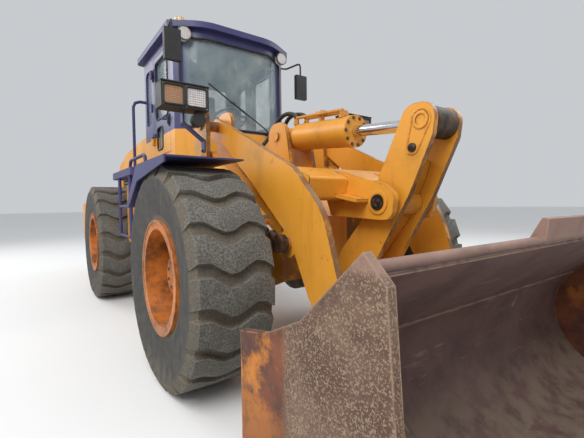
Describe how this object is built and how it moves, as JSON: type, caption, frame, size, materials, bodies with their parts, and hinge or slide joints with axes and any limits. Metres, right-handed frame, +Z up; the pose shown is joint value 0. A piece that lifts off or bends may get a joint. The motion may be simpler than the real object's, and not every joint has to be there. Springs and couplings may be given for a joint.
{
  "type": "wheel loader",
  "caption": "Articulated wheel loader with a Z-bar bucket linkage, hollow cab with doors, rear counterweight and tow clevis.",
  "frame": {"origin": "on the ground under the middle of the whole machine", "axes": "+X forward, +Y to the machine's left, +Z up"},
  "size_m": [7.05, 2.48, 3.12],
  "materials": {
    "yellow_paint": "gloss",
    "navy_paint": "satin",
    "tank_paint": "satin",
    "rim_paint": "satin",
    "dark_paint": "satin",
    "engine_grey": "rough",
    "bucket_steel": "worn",
    "worn_steel": "worn",
    "pin_steel": "satin",
    "rod_chrome": "polished",
    "tyre_rubber": "matt",
    "window_glass": "clear",
    "lamp_lens": "clear",
    "amber_lens": "clear",
    "black_plastic": "matt",
    "seat_vinyl": "matt"
  },
  "bodies": {
    "rear_frame": {"rear_chassis": "yellow_paint", "counterweight": "yellow_paint", "engine_block": "engine_grey", "hood": "yellow_paint", "grilles": "dark_paint", "exhaust": "dark_paint", "air_intake": "black_plastic", "rear_axle": "dark_paint", "cab_shell": "yellow_paint", "cab_roof": "navy_paint", "cab_glass": "window_glass", "seat_pads": "seat_vinyl", "seat_base": "black_plastic", "dash": "dark_paint", "steering_wheel": "black_plastic", "mirrors": "black_plastic", "roof_lamps": "lamp_lens", "beacon": "amber_lens", "platforms": "navy_paint", "ladders": "navy_paint", "handrails": "navy_paint", "tanks": "tank_paint"},
    "front_frame": {"front_frame": "yellow_paint", "front_axle": "dark_paint", "front_fenders": "navy_paint", "lamp_arms": "navy_paint", "lamp_housings": "black_plastic", "lamp_lenses": "lamp_lens", "indicator_lenses": "amber_lens"},
    "boom": {"boom": "yellow_paint"},
    "bucket_pins": {"bucket_pins": "pin_steel"},
    "bucket": {"bucket": "bucket_steel", "bucket_edge": "worn_steel"},
    "rocker_pin": {"rocker_pin": "pin_steel"},
    "rocker": {"rocker": "yellow_paint"},
    "link_pin": {"link_pin": "pin_steel"},
    "link": {"link": "yellow_paint"},
    "tilt_barrel": {"tilt_barrel": "yellow_paint"},
    "tilt_rod": {"tilt_rod": "rod_chrome"},
    "lift_barrels": {"lift_barrels": "yellow_paint"},
    "lift_rods": {"lift_rods": "rod_chrome"},
    "steer_barrel_right": {"steer_barrel_right": "dark_paint"},
    "steer_rod_right": {"steer_rod_right": "rod_chrome"},
    "steer_barrel_left": {"steer_barrel_left": "dark_paint"},
    "steer_rod_left": {"steer_rod_left": "rod_chrome"},
    "door_right": {"door_right": "yellow_paint", "door_glass_right": "window_glass"},
    "door_left": {"door_left": "yellow_paint", "door_glass_left": "window_glass"},
    "wheel_front_right": {"tyre_front_right": "tyre_rubber", "rim_front_right": "rim_paint"},
    "wheel_front_left": {"tyre_front_left": "tyre_rubber", "rim_front_left": "rim_paint"},
    "wheel_rear_right": {"tyre_rear_right": "tyre_rubber", "rim_rear_right": "rim_paint"},
    "wheel_rear_left": {"tyre_rear_left": "tyre_rubber", "rim_rear_left": "rim_paint"}
  },
  "joints": [
    {"name": "steer", "type": "hinge", "parent": "rear_frame", "child": "front_frame", "pos_m": [-0.35, 0, 0.76], "axis": [0, 0, 1], "range_deg": [-35, 35]},
    {"name": "lift", "type": "hinge", "parent": "front_frame", "child": "boom", "pos_m": [0.675, 0, 1.75], "axis": [0, -1, 0], "range_deg": [0, 90]},
    {"name": "bucket_level", "type": "hinge", "parent": "boom", "child": "bucket_pins", "pos_m": [2.295, 0, 0.27], "axis": [0, 1, 0], "range_deg": [0, 81.24]},
    {"name": "tilt", "type": "hinge", "parent": "bucket_pins", "child": "bucket", "pos_m": [2.295, 0, 0.27], "axis": [0, 1, 0], "range_deg": [-32, 45]},
    {"name": "rocker_lift", "type": "hinge", "parent": "boom", "child": "rocker_pin", "pos_m": [2.025, 0, 1.14], "axis": [0, -1, 0], "range_deg": [0, 23.99]},
    {"name": "rocker_tilt", "type": "hinge", "parent": "rocker_pin", "child": "rocker", "pos_m": [2.025, 0, 1.14], "axis": [0, -1, 0], "range_deg": [-9.73, 13.66]},
    {"name": "link_lift", "type": "hinge", "parent": "rocker", "child": "link_pin", "pos_m": [1.655, 0, 0.48], "axis": [0, 1, 0], "range_deg": [0, 34.58]},
    {"name": "link_tilt", "type": "hinge", "parent": "link_pin", "child": "link", "pos_m": [1.655, 0, 0.48], "axis": [0, 1, 0], "range_deg": [-15.06, 21.13]},
    {"name": "tilt_barrel_swing", "type": "hinge", "parent": "front_frame", "child": "tilt_barrel", "pos_m": [0.905, 0, 1.68], "axis": [0, -1, 0], "range_deg": [0, 99.06]},
    {"name": "tilt_rod_slide", "type": "slide", "parent": "tilt_barrel", "child": "tilt_rod", "axis": [0.996, 0, -0.0892], "range_m": [-0.1121, 0.0799]},
    {"name": "lift_barrel_swing", "type": "hinge", "parent": "front_frame", "child": "lift_barrels", "pos_m": [0.695, 0, 1.5], "axis": [0, -1, 0], "range_deg": [0, 90.28]},
    {"name": "lift_rod_slide", "type": "slide", "parent": "lift_barrels", "child": "lift_rods", "axis": [0.845, 0, -0.5348], "range_m": [0, 0.3576]},
    {"name": "steer_barrel_right_swing", "type": "hinge", "parent": "rear_frame", "child": "steer_barrel_right", "pos_m": [-0.85, -0.4, 0.76], "axis": [0, 0, 1], "range_deg": [-13.22, 13.22]},
    {"name": "steer_rod_right_slide", "type": "slide", "parent": "steer_barrel_right", "child": "steer_rod_right", "axis": [0.9933, 0.1155, 0], "range_m": [-0.2062, 0.2062]},
    {"name": "steer_barrel_left_swing", "type": "hinge", "parent": "rear_frame", "child": "steer_barrel_left", "pos_m": [-0.85, 0.4, 0.76], "axis": [0, 0, 1], "range_deg": [-13.22, 13.22]},
    {"name": "steer_rod_left_slide", "type": "slide", "parent": "steer_barrel_left", "child": "steer_rod_left", "axis": [0.9933, -0.1155, 0], "range_m": [-0.2062, 0.2062]},
    {"name": "door_right_hinge", "type": "hinge", "parent": "rear_frame", "child": "door_right", "pos_m": [-0.8, -0.632, 2.2], "axis": [0, 0, -1], "range_deg": [0, 90]},
    {"name": "door_left_hinge", "type": "hinge", "parent": "rear_frame", "child": "door_left", "pos_m": [-0.8, 0.632, 2.2], "axis": [0, 0, 1], "range_deg": [0, 90]},
    {"name": "wheel_front_right_spin", "type": "hinge", "parent": "front_frame", "child": "wheel_front_right", "pos_m": [1.075, -0.925, 0.69], "axis": [0, 1, 0], "continuous": true},
    {"name": "wheel_front_left_spin", "type": "hinge", "parent": "front_frame", "child": "wheel_front_left", "pos_m": [1.075, 0.925, 0.69], "axis": [0, 1, 0], "continuous": true},
    {"name": "wheel_rear_right_spin", "type": "hinge", "parent": "rear_frame", "child": "wheel_rear_right", "pos_m": [-1.775, -0.925, 0.69], "axis": [0, 1, 0], "continuous": true},
    {"name": "wheel_rear_left_spin", "type": "hinge", "parent": "rear_frame", "child": "wheel_rear_left", "pos_m": [-1.775, 0.925, 0.69], "axis": [0, 1, 0], "continuous": true}
  ],
  "couplings": [
    {"joint": "bucket_level", "follows": "lift", "ratio": 0.9},
    {"joint": "rocker_lift", "follows": "lift", "ratio": 0.2658},
    {"joint": "rocker_tilt", "follows": "tilt", "ratio": 0.302},
    {"joint": "link_lift", "follows": "lift", "ratio": 0.3831},
    {"joint": "link_tilt", "follows": "tilt", "ratio": 0.4671},
    {"joint": "tilt_barrel_swing", "follows": "lift", "ratio": 1.0974},
    {"joint": "tilt_rod_slide", "follows": "tilt", "m_per_rad": -0.14198},
    {"joint": "lift_barrel_swing", "follows": "lift", "ratio": 1.0001},
    {"joint": "lift_rod_slide", "follows": "lift", "m_per_rad": 0.22699},
    {"joint": "steer_barrel_right_swing", "follows": "steer", "ratio": 0.37542},
    {"joint": "steer_rod_right_slide", "follows": "steer", "m_per_rad": 0.33549},
    {"joint": "steer_barrel_left_swing", "follows": "steer", "ratio": 0.37542},
    {"joint": "steer_rod_left_slide", "follows": "steer", "m_per_rad": -0.33549}
  ]
}
